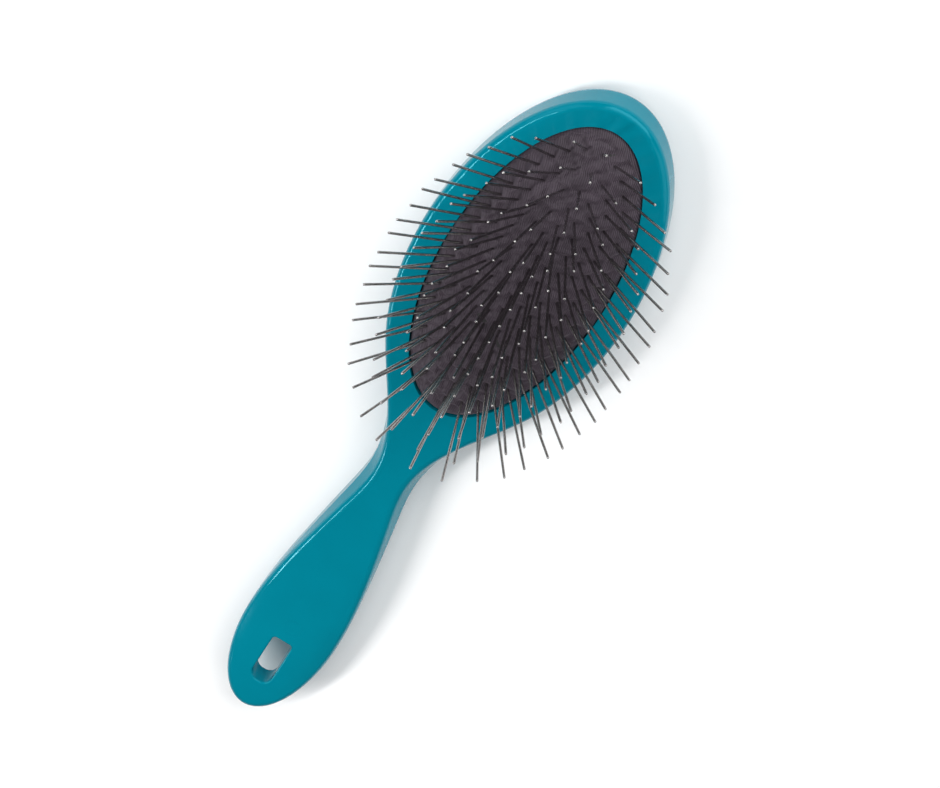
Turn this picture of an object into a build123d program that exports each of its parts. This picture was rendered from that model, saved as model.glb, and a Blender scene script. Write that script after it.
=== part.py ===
"""Oval pet pin brush: a hollow moulded handle and frame, with a sprung cushion of splayed steel pins.

Units are millimetres. The brush lies on its back: +Z points out through the pins, +Y towards the
tip of the head and +X across it. The origin is under the middle of the brush's length, on the plane
that it rests on.
"""

from build123d import *
from math import cos, radians, sin, sqrt
import os

os.makedirs("parts", exist_ok=True)

# ---------------------------------------------------------------- driving dimensions
overall_length = 230.0
head_half_width = 30.8
head_half_length = 58.4
head_y = overall_length / 2 - head_half_length
shoulder_angle = 43.0  # the head's ellipse ends this far below its widest line

neck_stations = (  # y, half width at the parting line, how much narrower the front face is
    (0.6, 13.6, 0.5),
    (-8.0, 9.8, 1.4),
    (-22.0, 7.1, 2.4),
    (-36.0, 8.5, 1.9),
    (-58.0, 11.8, 0.7),
)
handle_half_width = 13.9
handle_end_length = 30.0  # the half-ellipse that rounds the handle's end
handle_end_y = handle_end_length - overall_length / 2

rim_z = 14.0
parting_z = 9.2
wall = 2.0
front_edge_radius = 2.0
back_edge_radius = 3.2

neck_front_y = -5.0  # where the front face starts to crown towards the handle
front_fall = 1.0
front_crown_square = 0.0050
front_crown_quartic = 0.00004
front_crown_gain = 1.25
back_dip = 0.5  # how far the crowned back is planed off to give the flat that it rests on
back_radius_across = 110.0
back_radius_tip = 480.0
back_radius_handle = 2000.0
back_edge_rise = 2.4  # how much the back turns up at the head's sides beyond its even crown
back_quartic = back_edge_rise / head_half_width**4

tongue_height = 1.0
tongue_thickness = 0.85
tongue_gap = 0.1

hole_y = -96.3
hole_width = 6.2
hole_length = 16.4
hole_corner_radius = 1.2
hole_end_radius = 2.9
hole_edge_radius = 0.5

pad_half_width = 22.9
pad_half_length = 51.1
pad_edge_z = 13.6
dome_height = 5.0
facing_thickness = 0.5
membrane_thickness = 1.6
backing_thickness = 0.6
layer_gap = 0.02
pad_clearance = 0.3

flange_width = 4.7
flange_thickness = 1.6
ring_thickness = 2.0
ring_inner_inset = 1.2
stake_count = 10
stake_radius = 1.0
stake_head_radius = 1.7
stake_head_height = 0.8
stake_inset = 2.6  # from the pad's edge to the stakes' centre line
stake_gap = 0.05

post_places = (-50.0, -74.0)  # pegs that line the two shells up inside the handle
post_radius = 1.5
post_height = 1.6

pin_radius = 0.36
pin_length = 24.6  # proud of the cushion
pin_hole_clearance = 0.03
pin_head_radius = 1.15
pin_head_thickness = 0.5
head_seat_gap = 0.25
pin_hole_reach = 12.0
centre_row_count = 7
centre_row_half_length = 14.8
centre_row_splay = 0.13
outer_ring_half_width = 18.9
outer_ring_half_length = 45.0
pin_wander = 0.035  # how far a pin leans out of line with its neighbours (a tangent)
pin_rings = (  # pins, splay across, splay along (tangents), from the inner ring to the outer
    (18, 0.10, 0.21),
    (22, 0.21, 0.30),
    (32, 0.42, 0.39),
    (38, 0.78, 0.47),
    (44, 1.16, 0.55),
)
golden_angle = 2.4  # radians; turns each pin's lean well away from its neighbour's
quarters = ("tip_left", "neck_left", "neck_right", "tip_right")

cutter = 40.0  # longer than anything that it cuts through
surface_margin = 3.0  # how far a trimming surface runs past what it trims
dome_margin_across = 1.0
dome_margin_along = 1.5
reach = overall_length / 2 + surface_margin
flange_z = rim_z - wall - flange_thickness  # underside of the cushion's flange
ring_z = flange_z - ring_thickness  # underside of the clamp ring
long_edge = 1.0  # edges that reach further than this along the brush run round its outline
back_edges_low_z = 0.5
back_edges_high_z = parting_z - 1.0
front_edges_low_z = parting_z + 3.0
tiny = 0.01
surface_step = 4.0
surface_tolerance = 0.002


# ---------------------------------------------------------------- the body's outline and surfaces
def outline(inset=0.0, pinch=0.0):
    """Plan outline of the brush as a face at z = 0, drawn in by inset, its neck by pinch as well."""
    with BuildSketch() as plan:
        with BuildLine():
            head = EllipticalCenterArc(
                (0, head_y),
                head_half_width - inset,
                head_half_length - inset,
                -shoulder_angle,
                arc_size=180 + 2 * shoulder_angle,
            )
            end = EllipticalCenterArc(
                (0, handle_end_y),
                handle_half_width - inset,
                handle_end_length - inset,
                180,
                arc_size=180,
            )
            left = [(pinch * tuck + inset - half, y) for y, half, tuck in neck_stations]
            right = [(half - inset - pinch * tuck, y) for y, half, tuck in neck_stations]
            Spline(head @ 1, *left, end @ 0, tangents=(head % 1, end % 0))
            Spline(end @ 1, *reversed(right), head @ 0, tangents=(end % 1, head % 0))
        make_face()
    return plan.sketch


def front_height(x, y):
    """Height of the handle's front: it leaves the head's flat rim smoothly, crowned and falling."""
    down = (neck_front_y - y) / (neck_front_y + overall_length / 2)
    crown = front_crown_square * x**2 + front_crown_quartic * x**4
    return rim_z - front_fall * down**2 - crown * down**2 * (3 - 2 * down) * front_crown_gain


def back_height(x, y):
    """Height of the crowned back, before its middle is planed flat."""
    along = y - head_y
    radius = back_radius_tip if along > 0 else back_radius_handle
    rise = along**2 / (2 * radius)
    return x**2 / (2 * back_radius_across) + back_quartic * x**4 + rise - back_dip


def surface(height, x_reach, y_low, y_high, lift=0.0):
    """Smooth face through height(x, y) + lift over a rectangle."""
    columns = round(2 * x_reach / surface_step)
    rows = round((y_high - y_low) / surface_step)
    xs = [x_reach * (2 * i / columns - 1) for i in range(columns + 1)]
    ys = [y_low + (y_high - y_low) * j / rows for j in range(rows + 1)]
    points = [[Vector(x, y, height(x, y) + lift) for x in xs] for y in ys]
    return Face.make_surface_from_array_of_points(points, tol=surface_tolerance, min_deg=3, max_deg=3)


def front_envelope(lowering):
    """All that lies under the front, lowered: a block with the handle's crowned face let into it."""
    handle_face = surface(front_height, handle_half_width + surface_margin, -reach, neck_front_y, -lowering)
    with BuildPart() as envelope:
        extrude(handle_face, amount=cutter, dir=(0, 0, -1))
        with Locations((0, neck_front_y, rim_z - lowering)):
            Box(2 * cutter, 2 * reach, cutter, align=(Align.CENTER, Align.MIN, Align.MAX))
    return envelope.part


def body_blank(inset=0.0):
    """Solid between the front and back surfaces, inset everywhere: the outside, or the hollow."""
    back_face = surface(back_height, head_half_width + surface_margin, -reach, reach, inset)
    with BuildPart() as blank:
        with BuildSketch():
            add(outline(inset))
        extrude(amount=parting_z)
        with BuildSketch(Plane.XY.offset(parting_z)):
            add(outline(inset))
        with BuildSketch(Plane.XY.offset(rim_z)):
            add(outline(inset, pinch=1.0))
        loft(ruled=True)
        add(front_envelope(inset), mode=Mode.INTERSECT)
        extrude(back_face, amount=cutter, dir=(0, 0, 1), mode=Mode.INTERSECT)
    return blank.part


def hang_hole(margin=0.0):
    """Outline of the hang hole: square-ended towards the neck, rounded towards the handle's end."""
    with BuildSketch() as slot:
        with Locations((0, hole_y)):
            Rectangle(hole_width + 2 * margin, hole_length + 2 * margin)
        corners = slot.vertices().sort_by(Axis.Y)
        fillet(corners[2:], hole_corner_radius + margin)
        fillet(slot.vertices().sort_by(Axis.Y)[:2], hole_end_radius + margin)
    return slot.sketch


def runs_round(edge):
    """Whether an edge runs along the brush's outline rather than up its side."""
    return edge.bounding_box().size.Y > long_edge


def is_hole_rim(edge):
    """Whether an edge runs round the hang hole's mouth, at the front or the back."""
    box = edge.bounding_box()
    inside = max(box.max.X, -box.min.X) < hole_width
    return inside and box.min.Y > hole_y - hole_length / 2 - tiny and box.size.Z < wall


def ellipse_band(outer_inset, inner_inset):
    """Ring between two ellipses, each drawn in from the cushion's edge (negative is outwards)."""
    with BuildSketch() as band:
        with Locations((0, head_y)):
            Ellipse(pad_half_width - outer_inset, pad_half_length - outer_inset)
            Ellipse(pad_half_width - inner_inset, pad_half_length - inner_inset, mode=Mode.SUBTRACT)
    return band.sketch


def stake_points():
    """Centres of the stakes that hold the cushion's flange and clamp ring."""
    angles = [radians(360 * (i + 0.5) / stake_count) for i in range(stake_count)]
    across = pad_half_width + stake_inset
    along = pad_half_length + stake_inset
    return [(across * cos(a), head_y + along * sin(a)) for a in angles]


def dome_height_at(x, y):
    """Height of the cushion's outer surface: flat-topped and pillow-like, level round its edge."""
    spread = (x / pad_half_width) ** 2 + ((y - head_y) / pad_half_length) ** 2
    return pad_edge_z + dome_height * (1 - spread**2)


def dome_normal_at(x, y):
    """Unit normal of the cushion's outer surface."""
    spread = (x / pad_half_width) ** 2 + ((y - head_y) / pad_half_length) ** 2
    slope = 4 * dome_height * spread
    return Vector(slope * x / pad_half_width**2, slope * (y - head_y) / pad_half_length**2, 1).normalized()


def dome_face(depth):
    """The cushion's surface, lowered by depth, reaching a little past its edge."""
    x_reach = pad_half_width + dome_margin_across
    y_reach = pad_half_length + dome_margin_along
    return surface(dome_height_at, x_reach, head_y - y_reach, head_y + y_reach, -depth)


def dome_block(depth, inset):
    """Solid under the cushion's surface, lowered by depth, within the ellipse inset from its edge."""
    with BuildPart() as block:
        with BuildSketch(Plane.XY.offset(flange_z)):
            with Locations((0, head_y)):
                Ellipse(pad_half_width - inset, pad_half_length - inset)
        extrude(amount=cutter)
        extrude(dome_face(depth), amount=cutter, dir=(0, 0, -1), mode=Mode.INTERSECT)
    return block.part


# ---------------------------------------------------------------- where the pins stand
def pin_plane(x, y, splay_x, splay_y):
    """Plane on the cushion's surface whose normal is the pin's direction."""
    return Plane((x, y, dome_height_at(x, y)), z_dir=(splay_x, splay_y, 1))


def centre_row_planes():
    """Pins of the straight row along the middle of the cushion."""
    planes = []
    for i in range(centre_row_count):
        along = 2 * i / (centre_row_count - 1) - 1
        y = head_y + centre_row_half_length * along
        planes.append(pin_plane(0, y, 0, centre_row_splay * along))
    return planes


def ring_planes(number):
    """Pins of one oval ring, counted from 1 at the inside, evenly spaced from the head's tip."""
    count, across, along = pin_rings[number - 1]
    share = number / len(pin_rings)
    half_width = outer_ring_half_width * share
    half_length = centre_row_half_length + (outer_ring_half_length - centre_row_half_length) * share
    oval = Edge.make_ellipse(half_width, half_length)
    planes = []
    for i in range(count):
        point = oval.position_at(oval.length * i / count, position_mode=PositionMode.LENGTH)
        lean = number + i * golden_angle
        splay_x = across * point.X / half_width + pin_wander * sin(lean)
        splay_y = along * point.Y / half_length + pin_wander * cos(lean)
        planes.append(pin_plane(point.X, head_y + point.Y, splay_x, splay_y))
    return planes


def head_depth(plane):
    """Depth along a pin at which its flat head clears the underside of the backing sheet."""
    normal = dome_normal_at(plane.origin.X, plane.origin.Y)
    facing = plane.z_dir.dot(normal)
    layers = (facing_thickness + membrane_thickness + backing_thickness + 2 * layer_gap) * normal.Z
    tilt = pin_head_radius * sqrt(max(1 - facing**2, 0))
    return (layers + tilt + head_seat_gap) / facing


def pin_group(planes):
    """Steel pins with round tips and flat heads, one on each plane."""
    depth = max(head_depth(plane) for plane in planes)
    with BuildPart() as pin:
        with BuildSketch(Plane.XZ):
            with BuildLine():
                Polyline(
                    (0, pin_length),
                    (0, -depth - pin_head_thickness),
                    (pin_head_radius, -depth - pin_head_thickness),
                    (pin_head_radius, -depth),
                    (pin_radius, -depth),
                    (pin_radius, pin_length - pin_radius),
                )
                RadiusArc((pin_radius, pin_length - pin_radius), (0, pin_length), -pin_radius)
            make_face()
        revolve(axis=Axis.Z)
    with BuildPart() as group:
        with Locations(*planes):
            add(pin.part)
    return group


all_pin_planes = centre_row_planes()
for number in range(1, len(pin_rings) + 1):
    all_pin_planes += ring_planes(number)


def pierced(sheet):
    """The sheet with a close hole for every pin."""
    with BuildPart() as holed:
        add(sheet)
        with Locations(*all_pin_planes):
            Cylinder(pin_radius + pin_hole_clearance, pin_hole_reach, mode=Mode.SUBTRACT)
    return holed


# ---------------------------------------------------------------- the moulded shells
hollow_blank = body_blank(wall)
with BuildPart() as hollow:
    add(hollow_blank)
    with BuildSketch():
        add(hang_hole(wall))
    extrude(amount=cutter, mode=Mode.SUBTRACT)

outer_blank = body_blank()
with BuildPart() as outer:
    add(outer_blank)
    front_edges = outer.edges().filter_by_position(Axis.Z, front_edges_low_z, rim_z)
    fillet(front_edges.filter_by(runs_round), front_edge_radius)
    back_edges = outer.edges().filter_by_position(Axis.Z, back_edges_low_z, back_edges_high_z)
    fillet(back_edges.filter_by(runs_round), back_edge_radius)
    with BuildSketch():
        add(hang_hole())
    extrude(amount=cutter, mode=Mode.SUBTRACT)
    rim_edges = outer.edges().filter_by_position(Axis.Y, hole_y - hole_length, hole_y + hole_length)
    rim_edges = rim_edges.filter_by(is_hole_rim)
    fillet(rim_edges, hole_edge_radius)

with BuildPart() as front_shell:
    add(outer.part)
    split(bisect_by=Plane.XY.offset(parting_z), keep=Keep.TOP)
    add(hollow.part, mode=Mode.SUBTRACT)
    with BuildSketch(Plane.XY.offset(parting_z)):
        with Locations((0, head_y)):
            Ellipse(pad_half_width + pad_clearance, pad_half_length + pad_clearance)
    extrude(amount=cutter, mode=Mode.SUBTRACT)
    with BuildSketch(Plane.XY.offset(parting_z)):
        add(outline(wall - tongue_thickness - tongue_gap))
        add(outline(wall + tongue_thickness), mode=Mode.SUBTRACT)
    extrude(amount=tongue_height + tongue_gap, mode=Mode.SUBTRACT)
    for post_y in post_places:
        socket_top = front_height(0, post_y) - wall / 2
        with BuildSketch(Plane.XY.offset(parting_z)):
            with Locations((0, post_y)):
                Circle(post_radius + wall)
                Circle(post_radius + tongue_gap, mode=Mode.SUBTRACT)
        extrude(amount=socket_top - parting_z)
    with BuildSketch(Plane.XY.offset(rim_z - wall)):
        with Locations(*stake_points()):
            Circle(stake_radius)
    extrude(amount=ring_z - (rim_z - wall))
    with BuildSketch(Plane.XY.offset(ring_z)):
        with Locations(*stake_points()):
            Circle(stake_head_radius)
    extrude(amount=-stake_head_height)
front_shell.part.label = "front_shell"
export_step(front_shell.part, "parts/front_shell.step")

with BuildPart() as back_shell:
    add(outer.part)
    split(bisect_by=Plane.XY.offset(parting_z), keep=Keep.BOTTOM)
    add(hollow.part, mode=Mode.SUBTRACT)
    with BuildSketch(Plane.XY.offset(parting_z)):
        add(outline(wall - tongue_thickness))
        add(outline(wall), mode=Mode.SUBTRACT)
    extrude(amount=tongue_height)
    for post_y in post_places:
        post_foot = back_height(0, post_y) + wall / 2
        with BuildSketch(Plane.XY.offset(post_foot)):
            with Locations((0, post_y)):
                Circle(post_radius)
        extrude(amount=parting_z + post_height - post_foot)
back_shell.part.label = "back_shell"
export_step(back_shell.part, "parts/back_shell.step")

# ---------------------------------------------------------------- the cushion
with BuildPart() as clamp_ring:
    with BuildSketch(Plane.XY.offset(ring_z)):
        add(ellipse_band(-flange_width, ring_inner_inset))
        with Locations(*stake_points()):
            Circle(stake_radius + stake_gap, mode=Mode.SUBTRACT)
    extrude(amount=ring_thickness)
clamp_ring.part.label = "clamp_ring"
export_step(clamp_ring.part, "parts/clamp_ring.step")

membrane_outside = dome_block(facing_thickness + layer_gap, 0)
membrane_inside = dome_block(facing_thickness + layer_gap + membrane_thickness, membrane_thickness)
with BuildPart() as membrane_blank:
    with BuildSketch(Plane.XY.offset(flange_z)):
        add(ellipse_band(-flange_width, membrane_thickness))
        with Locations(*stake_points()):
            Circle(stake_radius + stake_gap, mode=Mode.SUBTRACT)
    extrude(amount=flange_thickness)
    add(membrane_outside)
    add(membrane_inside, mode=Mode.SUBTRACT)
cushion_membrane = pierced(membrane_blank.part)
cushion_membrane.part.label = "cushion_membrane"
export_step(cushion_membrane.part, "parts/cushion_membrane.step")

with BuildPart() as facing_blank:
    add(dome_block(0, 0))
    add(dome_block(facing_thickness, -pad_clearance), mode=Mode.SUBTRACT)
fabric_facing = pierced(facing_blank.part)
fabric_facing.part.label = "fabric_facing"
export_step(fabric_facing.part, "parts/fabric_facing.step")

backing_depth = facing_thickness + membrane_thickness + 2 * layer_gap
backing_inset = membrane_thickness + pad_clearance
with BuildPart() as backing_blank:
    add(dome_block(backing_depth, backing_inset))
    add(dome_block(backing_depth + backing_thickness, 0), mode=Mode.SUBTRACT)
pin_backing_sheet = pierced(backing_blank.part)
pin_backing_sheet.part.label = "pin_backing_sheet"
export_step(pin_backing_sheet.part, "parts/pin_backing_sheet.step")

# ---------------------------------------------------------------- the pins
pins = pin_group(centre_row_planes())
pins.part.label = "pins_centre_row"
export_step(pins.part, "parts/pins_centre_row.step")

for ring_number in range(1, len(pin_rings) + 1):
    planes = ring_planes(ring_number)
    for place, quarter in enumerate(quarters):
        chosen = [plane for i, plane in enumerate(planes) if 4 * i // len(planes) == place]
        pins = pin_group(chosen)
        pins.part.label = f"pins_ring_{ring_number}_{quarter}"
        export_step(pins.part, f"parts/{pins.part.label}.step")
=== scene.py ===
"""Looks for the pet pin brush: gloss teal body, plum-black cloth cushion and polished steel pins."""

import math

import bmesh
import bpy
from mathutils import Matrix, Vector


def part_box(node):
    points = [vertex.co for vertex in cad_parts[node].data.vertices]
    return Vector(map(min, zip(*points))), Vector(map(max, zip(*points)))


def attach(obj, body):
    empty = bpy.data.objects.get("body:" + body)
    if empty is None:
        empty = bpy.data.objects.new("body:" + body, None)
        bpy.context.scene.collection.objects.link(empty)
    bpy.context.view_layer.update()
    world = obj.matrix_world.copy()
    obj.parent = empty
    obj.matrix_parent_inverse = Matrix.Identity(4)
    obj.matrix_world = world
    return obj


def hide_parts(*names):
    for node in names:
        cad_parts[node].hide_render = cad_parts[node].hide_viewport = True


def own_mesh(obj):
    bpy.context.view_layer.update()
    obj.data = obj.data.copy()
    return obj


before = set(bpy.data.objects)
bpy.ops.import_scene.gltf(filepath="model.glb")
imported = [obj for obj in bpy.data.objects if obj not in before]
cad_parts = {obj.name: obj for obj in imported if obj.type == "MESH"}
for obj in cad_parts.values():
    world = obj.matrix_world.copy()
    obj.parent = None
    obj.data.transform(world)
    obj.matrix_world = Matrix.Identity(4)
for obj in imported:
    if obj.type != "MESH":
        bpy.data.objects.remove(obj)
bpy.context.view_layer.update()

MM = 0.001

# ---------------------------------------------------------------- sizes read from the frame
flange_low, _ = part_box("cushion_membrane")
facing_low, facing_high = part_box("fabric_facing")
PAD_HALF_WIDTH = (facing_high.x - facing_low.x) / 2
PAD_HALF_LENGTH = (facing_high.y - facing_low.y) / 2
PAD_Y = (facing_high.y + facing_low.y) / 2
CROWN_Z = facing_high.z
DOME_HEIGHT = 5.0 * MM
EDGE_Z = CROWN_Z - DOME_HEIGHT
FACING_THICKNESS = 0.5 * MM
RUBBER_THICKNESS = 1.6 * MM
BACKING_THICKNESS = 0.6 * MM
FLANGE_BOTTOM = flange_low.z
FLANGE_TOP = FLANGE_BOTTOM + 1.6 * MM
PIN_NODES = sorted(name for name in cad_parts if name.startswith("pins_"))
PIN_HEAD_ZONE = 1.2 * MM  # points this near a pin's lowest one mark its foot
PIN_SEARCH = 12 * MM  # from a pin's foot, past where it leaves the cushion
PIN_SEARCH_STEPS = 30

FLANGE_WIDTH = 4.7 * MM
RUBBER_DROP = 0.25 * MM  # the gap under the cloth
BACKING_DROP = 0.3 * MM  # RUBBER_DROP and the gap under the rubber together
BACKING_INSET = 0.4 * MM  # the gap to the rubber's wall
DOME_INNERMOST = 0.02
DOME_RINGS = 24
DOME_SHARES = [DOME_INNERMOST + (1 - DOME_INNERMOST) * i / DOME_RINGS for i in range(DOME_RINGS + 1)]
OVAL_SEGMENTS = 160

FACING_COLUMNS = 56
FACING_ROWS = 120
DIMPLE_DEPTH = 0.5 * MM
DIMPLE_REACH = 1.15 * MM
EDGE_ROLL = 0.7 * MM
EDGE_ROLL_START = 0.965
TURNED_DOWN = (0.5 * MM, 0.9 * MM)
SIM_SCALE = 20.0
SIM_FRAMES = 20
CLOTH_GROWTH = -0.24  # as a shrink factor, so the cloth is 24% oversize
HOLD_REACH = 0.95 * MM
PUFF_CAP = 1.0 * MM

MARK_Y = -0.082
MARK_RADIUS = 2.4 * MM
MARK_WIDTH = 0.35 * MM
TWILL_PITCH = 0.62 * MM
PICK_SHARE = 0.62  # the crossing threads' pitch against the ribs'

CAMERA_ROLL = math.radians(31.17)
CAMERA_TILT = math.radians(32.2)
CAMERA_YAW = math.radians(3.60)
CAMERA_DISTANCE = 1.300
CAMERA_LENS = 186.17
CAMERA_SENSOR = 36.0
CAMERA_NEAREST = 0.05
PAD_RIGHT_OF_CENTRE = 14.41 * MM
PAD_ABOVE_CENTRE = 31.74 * MM
FLOOR_HALF = 6.0


# ---------------------------------------------------------------- node helpers
def new_material(name):
    """Empty node material with its Principled shader; returns material, node tree and shader."""
    material = bpy.data.materials.new(name)
    material.use_nodes = True
    tree = material.node_tree
    return material, tree, tree.nodes["Principled BSDF"]


def math_node(tree, operation, first, second=None, third=None, clamp=False):
    """Math node's output; each operand is a socket or a number."""
    made = tree.nodes.new("ShaderNodeMath")
    made.operation = operation
    made.use_clamp = clamp
    for slot, operand in enumerate((first, second, third)):
        if operand is None:
            continue
        if isinstance(operand, bpy.types.NodeSocket):
            tree.links.new(operand, made.inputs[slot])
        else:
            made.inputs[slot].default_value = operand
    return made.outputs[0]


def ramp(tree, factor, *stops):
    """Colour ramp's output over a factor; each stop is (position, colour)."""
    made = tree.nodes.new("ShaderNodeValToRGB")
    elements = made.color_ramp.elements
    while len(elements) < len(stops):
        elements.new(0.5)
    for element, (position, colour) in zip(elements, stops):
        element.position = position
        element.color = (*colour, 1.0)
    tree.links.new(factor, made.inputs["Fac"])
    return made.outputs["Color"]


def bump(tree, height, strength, distance, under=None):
    """Bump node's normal from a height, on top of another bump's normal if one is given."""
    made = tree.nodes.new("ShaderNodeBump")
    made.inputs["Strength"].default_value = strength
    made.inputs["Distance"].default_value = distance
    tree.links.new(height, made.inputs["Height"])
    if under is not None:
        tree.links.new(under, made.inputs["Normal"])
    return made.outputs["Normal"]


def object_point(tree):
    """Object coordinates, which are the row frame's metres on every piece."""
    return tree.nodes.new("ShaderNodeTexCoord").outputs["Object"]


def noise_at(tree, point, scale, detail=3.0, roughness=0.5):
    """Noise texture's factor."""
    made = tree.nodes.new("ShaderNodeTexNoise")
    made.inputs["Scale"].default_value = scale
    made.inputs["Detail"].default_value = detail
    made.inputs["Roughness"].default_value = roughness
    tree.links.new(point, made.inputs["Vector"])
    return made.outputs["Fac"]


def split_point(tree, point):
    """X, Y and Z of a point."""
    made = tree.nodes.new("ShaderNodeSeparateXYZ")
    tree.links.new(point, made.inputs[0])
    return made.outputs[0], made.outputs[1], made.outputs[2]


# ---------------------------------------------------------------- materials
def teal_plastic():
    """Gloss injection-moulded plastic: pigment clouds, faint swirl scratches, a moulding mark."""
    material, tree, shader = new_material("teal_gloss_plastic")
    point = object_point(tree)
    clouds = noise_at(tree, point, 38.0, 4.0, 0.55)
    colour = ramp(tree, clouds, (0.30, (0.0, 0.172, 0.236)), (0.72, (0.0, 0.192, 0.262)))
    tree.links.new(colour, shader.inputs["Base Color"])
    shader.inputs["IOR"].default_value = 1.5
    shader.inputs["Specular IOR Level"].default_value = 0.36
    shader.inputs["Specular Tint"].default_value = (0.20, 0.85, 1.0, 1.0)
    wear = noise_at(tree, point, 900.0, 5.0, 0.7)
    tree.links.new(math_node(tree, "MULTIPLY_ADD", wear, 0.05, 0.10), shader.inputs["Roughness"])

    # sink and flow unevenness of a thin moulding, far wider than it is deep
    flow = noise_at(tree, point, 45.0, 0.0, 0.4)
    normal = bump(tree, flow, 0.02, 0.0006)
    x, y, z = split_point(tree, point)
    away_y = math_node(tree, "SUBTRACT", y, MARK_Y)
    squares = math_node(tree, "ADD", math_node(tree, "POWER", x, 2.0), math_node(tree, "POWER", away_y, 2.0))
    radius = math_node(tree, "SQRT", squares)
    off_ring = math_node(tree, "ABSOLUTE", math_node(tree, "SUBTRACT", radius, MARK_RADIUS))
    ring = math_node(tree, "SUBTRACT", 1.0, math_node(tree, "DIVIDE", off_ring, MARK_WIDTH), clamp=True)
    front_only = math_node(tree, "GREATER_THAN", z, FLANGE_BOTTOM)
    normal = bump(tree, math_node(tree, "MULTIPLY", ring, front_only), 0.5, 0.00006, normal)
    tree.links.new(normal, shader.inputs["Normal"])
    return material


def cushion_cloth():
    """Fine plum-black twill over rubber: slanting ribs, crossed threads, slight sheen and lint."""
    material, tree, shader = new_material("plum_black_twill")
    point = object_point(tree)
    x, y, _ = split_point(tree, point)
    along = math_node(tree, "ADD", x, y)
    across = math_node(tree, "SUBTRACT", x, y)

    def thread(direction, pitch):
        turns = math_node(tree, "MULTIPLY", direction, 2 * math.pi / pitch)
        return math_node(tree, "MULTIPLY_ADD", math_node(tree, "SINE", turns), 0.5, 0.5)

    ribs = thread(along, TWILL_PITCH)
    picks = thread(across, TWILL_PITCH * PICK_SHARE)
    clouds = noise_at(tree, point, 140.0, 4.0, 0.6)
    dust = noise_at(tree, point, 2600.0, 2.0, 0.6)
    rib_part = math_node(tree, "MULTIPLY", ribs, 0.45)
    mixed = math_node(tree, "ADD", rib_part, math_node(tree, "MULTIPLY", picks, 0.2))
    mixed = math_node(tree, "ADD", mixed, math_node(tree, "MULTIPLY", clouds, 0.35))
    colour = ramp(
        tree,
        mixed,
        (0.20, (0.010, 0.007, 0.010)),
        (0.50, (0.041, 0.029, 0.041)),
        (0.84, (0.088, 0.066, 0.088)),
    )
    tree.links.new(colour, shader.inputs["Base Color"])
    shader.inputs["Roughness"].default_value = 0.62
    shader.inputs["Sheen Weight"].default_value = 0.25
    shader.inputs["Sheen Roughness"].default_value = 0.45
    shader.inputs["Sheen Tint"].default_value = (0.75, 0.66, 0.74, 1.0)
    shader.inputs["Specular IOR Level"].default_value = 0.35
    relief = math_node(tree, "ADD", ribs, math_node(tree, "MULTIPLY", picks, 0.5))
    relief = math_node(tree, "ADD", relief, math_node(tree, "MULTIPLY", dust, 0.4))
    normal = bump(tree, relief, 0.55, 0.00009)
    tree.links.new(normal, shader.inputs["Normal"])
    return material


def pin_steel():
    """Drawn steel wire, polished: fine lengthwise grain and slightly uneven tarnish."""
    material, tree, shader = new_material("polished_pin_steel")
    point = object_point(tree)
    grain = noise_at(tree, point, 1800.0, 3.0, 0.6)
    tarnish = noise_at(tree, point, 220.0, 3.0, 0.5)
    colour = ramp(tree, tarnish, (0.25, (0.27, 0.26, 0.255)), (0.75, (0.42, 0.405, 0.40)))
    tree.links.new(colour, shader.inputs["Base Color"])
    shader.inputs["Metallic"].default_value = 1.0
    tree.links.new(math_node(tree, "MULTIPLY_ADD", grain, 0.16, 0.14), shader.inputs["Roughness"])
    tree.links.new(bump(tree, grain, 0.12, 0.00002), shader.inputs["Normal"])
    return material


def plain_moulding(name, dark, light, roughness):
    """Matt moulded or sheet material for the pieces inside, with a fine spark-eroded texture."""
    material, tree, shader = new_material(name)
    point = object_point(tree)
    colour = ramp(tree, noise_at(tree, point, 300.0, 4.0, 0.6), (0.3, dark), (0.7, light))
    tree.links.new(colour, shader.inputs["Base Color"])
    shader.inputs["Roughness"].default_value = roughness
    tree.links.new(bump(tree, noise_at(tree, point, 4000.0, 2.0), 0.2, 0.00003), shader.inputs["Normal"])
    return material


def floor_paper():
    """Seamless white studio paper with a barely visible tooth."""
    material, tree, shader = new_material("studio_paper")
    point = object_point(tree)
    tooth = noise_at(tree, point, 14.0, 3.0)
    colour = ramp(tree, tooth, (0.3, (0.955, 0.955, 0.958)), (0.7, (0.97, 0.97, 0.97)))
    tree.links.new(colour, shader.inputs["Base Color"])
    shader.inputs["Roughness"].default_value = 0.8
    tree.links.new(bump(tree, noise_at(tree, point, 900.0), 0.05, 0.0002), shader.inputs["Normal"])
    return material


# ---------------------------------------------------------------- the cushion
def dome_height(x, y):
    """Height of the cushion's outer surface."""
    spread = (x / PAD_HALF_WIDTH) ** 2 + ((y - PAD_Y) / PAD_HALF_LENGTH) ** 2
    return EDGE_Z + DOME_HEIGHT * (1 - spread**2)


def pin_axis(points):
    """Centre and direction of one pin from its vertices: from its flat head to its tip."""
    top = max(points, key=lambda p: p.z)
    lowest = min(p.z for p in points)
    low = [p for p in points if p.z < lowest + PIN_HEAD_ZONE]
    foot = sum(low, Vector()) / len(low)
    return foot, (top - foot).normalized()


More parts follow.
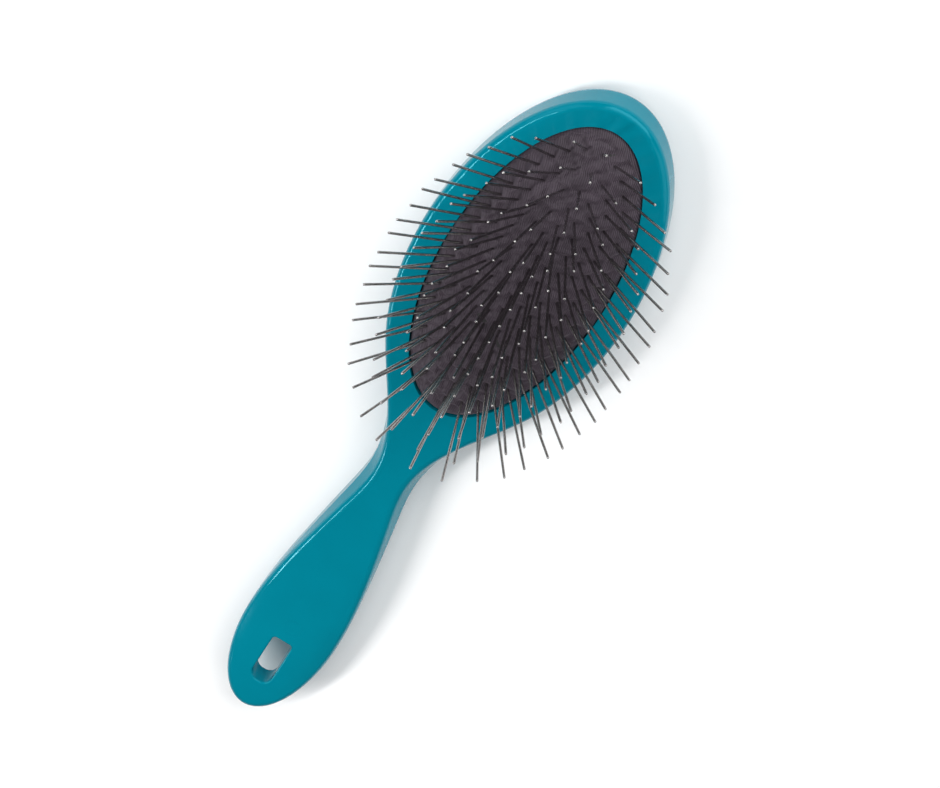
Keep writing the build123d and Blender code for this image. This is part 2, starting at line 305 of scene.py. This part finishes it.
def separate_islands(mesh):
    """Lists of vertex positions, one for each connected solid of a mesh."""
    grid = bmesh.new()
    grid.from_mesh(mesh)
    grid.verts.ensure_lookup_table()
    bmesh.ops.remove_doubles(grid, verts=grid.verts, dist=1e-7)
    grid.verts.ensure_lookup_table()
    seen = set()
    islands = []
    for start in grid.verts:
        if start in seen:
            continue
        stack = [start]
        seen.add(start)
        island = []
        while stack:
            vertex = stack.pop()
            island.append(vertex.co.copy())
            for edge in vertex.link_edges:
                other = edge.other_vert(vertex)
                if other not in seen:
                    seen.add(other)
                    stack.append(other)
        islands.append(island)
    grid.free()
    return islands


def pin_entries():
    """Where each pin passes through the cushion's surface."""
    entries = []
    for name in PIN_NODES:
        for island in separate_islands(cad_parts[name].data):
            foot, direction = pin_axis(island)
            low, high = 0.0, PIN_SEARCH
            for _ in range(PIN_SEARCH_STEPS):
                middle = (low + high) / 2
                point = foot + direction * middle
                if point.z < dome_height(point.x, point.y):
                    low = middle
                else:
                    high = middle
            entries.append(foot + direction * low)
    return entries


def disk_grid(columns, rows):
    """Even quads over the unit disk: a square grid mapped to it, with the faces as index lists."""
    points = []
    for j in range(rows + 1):
        for i in range(columns + 1):
            u = 2 * i / columns - 1
            v = 2 * j / rows - 1
            points.append((u * math.sqrt(1 - v * v / 2), v * math.sqrt(1 - u * u / 2)))
    width = columns + 1
    faces = [
        (j * width + i, j * width + i + 1, (j + 1) * width + i + 1, (j + 1) * width + i)
        for j in range(rows)
        for i in range(columns)
    ]
    return points, faces


def mesh_object(name, points, faces, material):
    """Smooth-shaded object from vertices and faces, linked into the scene."""
    mesh = bpy.data.meshes.new(name)
    mesh.from_pydata([tuple(p) for p in points], [], faces)
    mesh.materials.append(material)
    mesh.validate()
    grid = bmesh.new()
    grid.from_mesh(mesh)
    bmesh.ops.recalc_face_normals(grid, faces=grid.faces)
    for face in grid.faces:
        face.smooth = True
    grid.to_mesh(mesh)
    grid.free()
    made = bpy.data.objects.new(name, mesh)
    bpy.context.scene.collection.objects.link(made)
    return made


def apply_modifiers(piece):
    """Makes the piece's evaluated mesh its own, with no modifier left."""
    graph = bpy.context.evaluated_depsgraph_get()
    graph.update()
    final = bpy.data.meshes.new_from_object(piece.evaluated_get(graph))
    piece.modifiers.clear()
    piece.data = final


def facing_rest(entries):
    """The facing before it puckers: the dome with a dimple at each pin and a rolled edge."""
    unit, faces = disk_grid(FACING_COLUMNS, FACING_ROWS)
    points = []
    for u, v in unit:
        x = u * PAD_HALF_WIDTH
        y = PAD_Y + v * PAD_HALF_LENGTH
        nearest = min((x - e.x) ** 2 + (y - e.y) ** 2 for e in entries)
        edge = max(math.hypot(u, v) - EDGE_ROLL_START, 0) / (1 - EDGE_ROLL_START)
        dimple = DIMPLE_DEPTH * math.exp(-nearest / DIMPLE_REACH**2)
        z = dome_height(x, y) - EDGE_ROLL * edge**2 - dimple
        points.append(Vector((x, y, z)))
    return unit, points, faces


def puckered(unit, points, faces, entries):
    """Cloth simulation: cloth 24% oversize, held at the pins and the edge, buckles between them."""
    centre = Vector((0, PAD_Y, EDGE_Z))
    grown = [(p - centre) * SIM_SCALE for p in points]
    cloth = mesh_object("facing_sim", grown, faces, bpy.data.materials.new("sim"))
    held = cloth.vertex_groups.new(name="held")
    for index, ((u, v), p) in enumerate(zip(unit, points)):
        at_pin = min((p.x - e.x) ** 2 + (p.y - e.y) ** 2 for e in entries) < HOLD_REACH**2
        if at_pin or math.hypot(u, v) > EDGE_ROLL_START:
            held.add([index], 1.0, "REPLACE")
    modifier = cloth.modifiers.new("cloth", "CLOTH")
    settings = modifier.settings
    settings.quality = 6
    settings.mass = 0.25
    settings.tension_stiffness = 18
    settings.compression_stiffness = 18
    settings.shear_stiffness = 6
    settings.bending_stiffness = 0.02
    settings.vertex_group_mass = "held"
    settings.shrink_min = CLOTH_GROWTH
    settings.use_pressure = True
    settings.uniform_pressure_force = 1.2
    settings.effector_weights.gravity = 0
    modifier.collision_settings.use_collision = False
    modifier.collision_settings.use_self_collision = False
    scene = bpy.context.scene
    modifier.point_cache.frame_start = 1
    modifier.point_cache.frame_end = SIM_FRAMES
    for number in range(1, SIM_FRAMES + 1):
        scene.frame_set(number)
    graph = bpy.context.evaluated_depsgraph_get()
    settled = cloth.evaluated_get(graph).data
    result = []
    for vertex, start, p in zip(settled.vertices, grown, points):
        move = (Vector(vertex.co) - start) / SIM_SCALE
        if move.length > PUFF_CAP:
            move *= PUFF_CAP / move.length
        result.append(p + move)
    scene.frame_set(1)
    bpy.data.objects.remove(cloth)
    return result


def make_facing(material, entries):
    """The cushion's cloth face, closed underneath, turned down inside the frame's opening."""
    unit, points, faces = facing_rest(entries)
    points = puckered(unit, points, faces, entries)
    piece = mesh_object("cushion_facing", points, faces, material)
    grid = bmesh.new()
    grid.from_mesh(piece.data)
    for drop in TURNED_DOWN:
        border = [edge for edge in grid.edges if edge.is_boundary]
        lowered = bmesh.ops.extrude_edge_only(grid, edges=border)["geom"]
        for vertex in (item for item in lowered if isinstance(item, bmesh.types.BMVert)):
            vertex.co.z -= drop
    bmesh.ops.recalc_face_normals(grid, faces=grid.faces)
    for face in grid.faces:
        face.smooth = True
    grid.to_mesh(piece.data)
    grid.free()
    thick = piece.modifiers.new("thickness", "SOLIDIFY")
    thick.thickness = FACING_THICKNESS
    thick.offset = -1
    smooth = piece.modifiers.new("smooth", "SUBSURF")
    smooth.levels = smooth.render_levels = 1
    apply_modifiers(piece)
    return piece


def oval_lathe(name, profile, material):
    """Closed oval solid: each profile point is (share of the pad, outward offset, height)."""
    segments = OVAL_SEGMENTS
    points = []
    faces = []
    for share, offset, z in profile:
        for step in range(segments):
            angle = 2 * math.pi * step / segments
            x = (PAD_HALF_WIDTH * share + offset) * math.cos(angle)
            y = PAD_Y + (PAD_HALF_LENGTH * share + offset) * math.sin(angle)
            points.append((x, y, z))
    for ring in range(len(profile) - 1):
        for step in range(segments):
            following = (step + 1) % segments
            base = ring * segments
            above = base + segments
            faces.append((base + step, base + following, above + following, above + step))
    faces.append(tuple(range(segments)))
    last = (len(profile) - 1) * segments
    faces.append(tuple(reversed(range(last, last + segments))))
    return mesh_object(name, points, faces, material)


def dome_profile(depth, offset, shares):
    """Profile points across the dome, lowered by depth."""
    return [(share, offset * share, EDGE_Z + DOME_HEIGHT * (1 - share**4) - depth) for share in shares]


def make_rubber(material):
    """The rubber under the cloth, with its wall and the flange behind the frame."""
    depth = FACING_THICKNESS + RUBBER_DROP
    top = dome_profile(depth, 0.0, DOME_SHARES)
    skirt = [
        (1, 0, FLANGE_TOP),
        (1, FLANGE_WIDTH, FLANGE_TOP),
        (1, FLANGE_WIDTH, FLANGE_BOTTOM),
        (1, -RUBBER_THICKNESS, FLANGE_BOTTOM),
    ]
    under = dome_profile(depth + RUBBER_THICKNESS, -RUBBER_THICKNESS, list(reversed(DOME_SHARES)))
    return oval_lathe("cushion_rubber", top + skirt + under, material)


def make_backing(material):
    """The thin sheet behind the rubber that the pins' heads bear on."""
    inset = -(RUBBER_THICKNESS + BACKING_INSET)
    depth = FACING_THICKNESS + RUBBER_THICKNESS + BACKING_DROP
    top = dome_profile(depth, inset, DOME_SHARES)
    under = dome_profile(depth + BACKING_THICKNESS, inset, list(reversed(DOME_SHARES)))
    return oval_lathe("pin_backing", top + under, material)


# ---------------------------------------------------------------- the stage, lights and camera
def area_light(name, place, size_x, size_y, watts, along=(0.0, 0.0, 1.0)):
    """Rectangular softbox at a place in metres, aimed at the brush's middle, its length lying along."""
    data = bpy.data.lights.new(name, "AREA")
    data.shape = "RECTANGLE"
    data.size = size_x
    data.size_y = size_y
    data.energy = watts
    lamp = bpy.data.objects.new(name, data)
    away = Vector(place).normalized()
    across = Vector(along).cross(away).normalized()
    turn = Matrix((across, away.cross(across), away)).transposed()
    lamp.matrix_world = Matrix.Translation(place) @ turn.to_4x4()
    bpy.context.scene.collection.objects.link(lamp)


def make_stage(material):
    """Wide pale floor under the brush."""
    half = FLOOR_HALF
    corners = [(-half, -half, 0), (half, -half, 0), (half, half, 0), (-half, half, 0)]
    mesh_object("studio_floor", corners, [(0, 1, 2, 3)], material)


def make_world(strength):
    """Dim even surround."""
    world = bpy.data.worlds.new("surround")
    world.use_nodes = True
    background = world.node_tree.nodes["Background"]
    background.inputs["Color"].default_value = (0.9, 0.95, 1.0, 1.0)
    background.inputs["Strength"].default_value = strength
    bpy.context.scene.world = world


def make_camera():
    """Long lens above the head's tip, looking down along the brush, rolled so that it slants."""
    tilt = Matrix.Rotation(CAMERA_TILT, 3, "X")
    yaw = Matrix.Rotation(CAMERA_YAW, 3, "Y")
    roll = Matrix.Rotation(-CAMERA_ROLL, 3, "Z")
    to_camera = roll @ yaw @ tilt
    to_world = to_camera.transposed()
    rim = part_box("front_shell")[1].z
    pad_centre = Vector((0, PAD_Y, rim))
    seen_at = Vector((PAD_RIGHT_OF_CENTRE, PAD_ABOVE_CENTRE, -CAMERA_DISTANCE))
    data = bpy.data.cameras.new("camera")
    data.lens = CAMERA_LENS
    data.sensor_width = CAMERA_SENSOR
    data.clip_start = CAMERA_NEAREST
    camera = bpy.data.objects.new("camera", data)
    camera.matrix_world = Matrix.Translation(pad_centre - to_world @ seen_at) @ to_world.to_4x4()
    bpy.context.scene.collection.objects.link(camera)
    bpy.context.scene.camera = camera


# ---------------------------------------------------------------- putting it together
teal = teal_plastic()
steel = pin_steel()
for node_name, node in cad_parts.items():
    if node_name in ("front_shell", "back_shell"):
        finish = teal
    elif node_name.startswith("pins_"):
        finish = steel
    else:
        continue
    for material_slot in node.material_slots:
        material_slot.material = finish

ring_plastic = plain_moulding("clamp_ring_plastic", (0.012, 0.014, 0.016), (0.026, 0.028, 0.032), 0.5)
for material_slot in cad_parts["clamp_ring"].material_slots:
    material_slot.material = ring_plastic

rubber_black = plain_moulding("cushion_rubber_black", (0.012, 0.011, 0.012), (0.024, 0.022, 0.024), 0.7)
backing_grey = plain_moulding("backing_sheet_grey", (0.10, 0.10, 0.105), (0.14, 0.14, 0.145), 0.55)
facing = make_facing(cushion_cloth(), pin_entries())
rubber = make_rubber(rubber_black)
backing = make_backing(backing_grey)
for piece, node_name, material_name in (
    (facing, "fabric_facing", "cushion_fabric"),
    (rubber, "cushion_membrane", "cushion_rubber"),
    (backing, "pin_backing_sheet", "backing_plastic"),
):
    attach(piece, "brush_body")
    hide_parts(node_name)
    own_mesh(piece)

make_stage(floor_paper())
make_world(0.10)
area_light("left_strip", (-0.44, -0.28, 0.54), 0.08, 0.75, 4.2, along=(0.02, 0.77, 0.45))
area_light("head_softbox", (0.20, 1.35, 0.95), 1.8, 1.1, 27.0)
area_light("right_softbox", (1.25, 0.25, 0.95), 0.9, 1.3, 5.0)
area_light("left_softbox", (-1.25, 0.45, 0.95), 0.9, 1.3, 4.0)
area_light("top_softbox", (0.0, 0.75, 1.5), 1.2, 0.8, 3.0)
bpy.context.scene.view_settings.view_transform = "Standard"
make_camera()
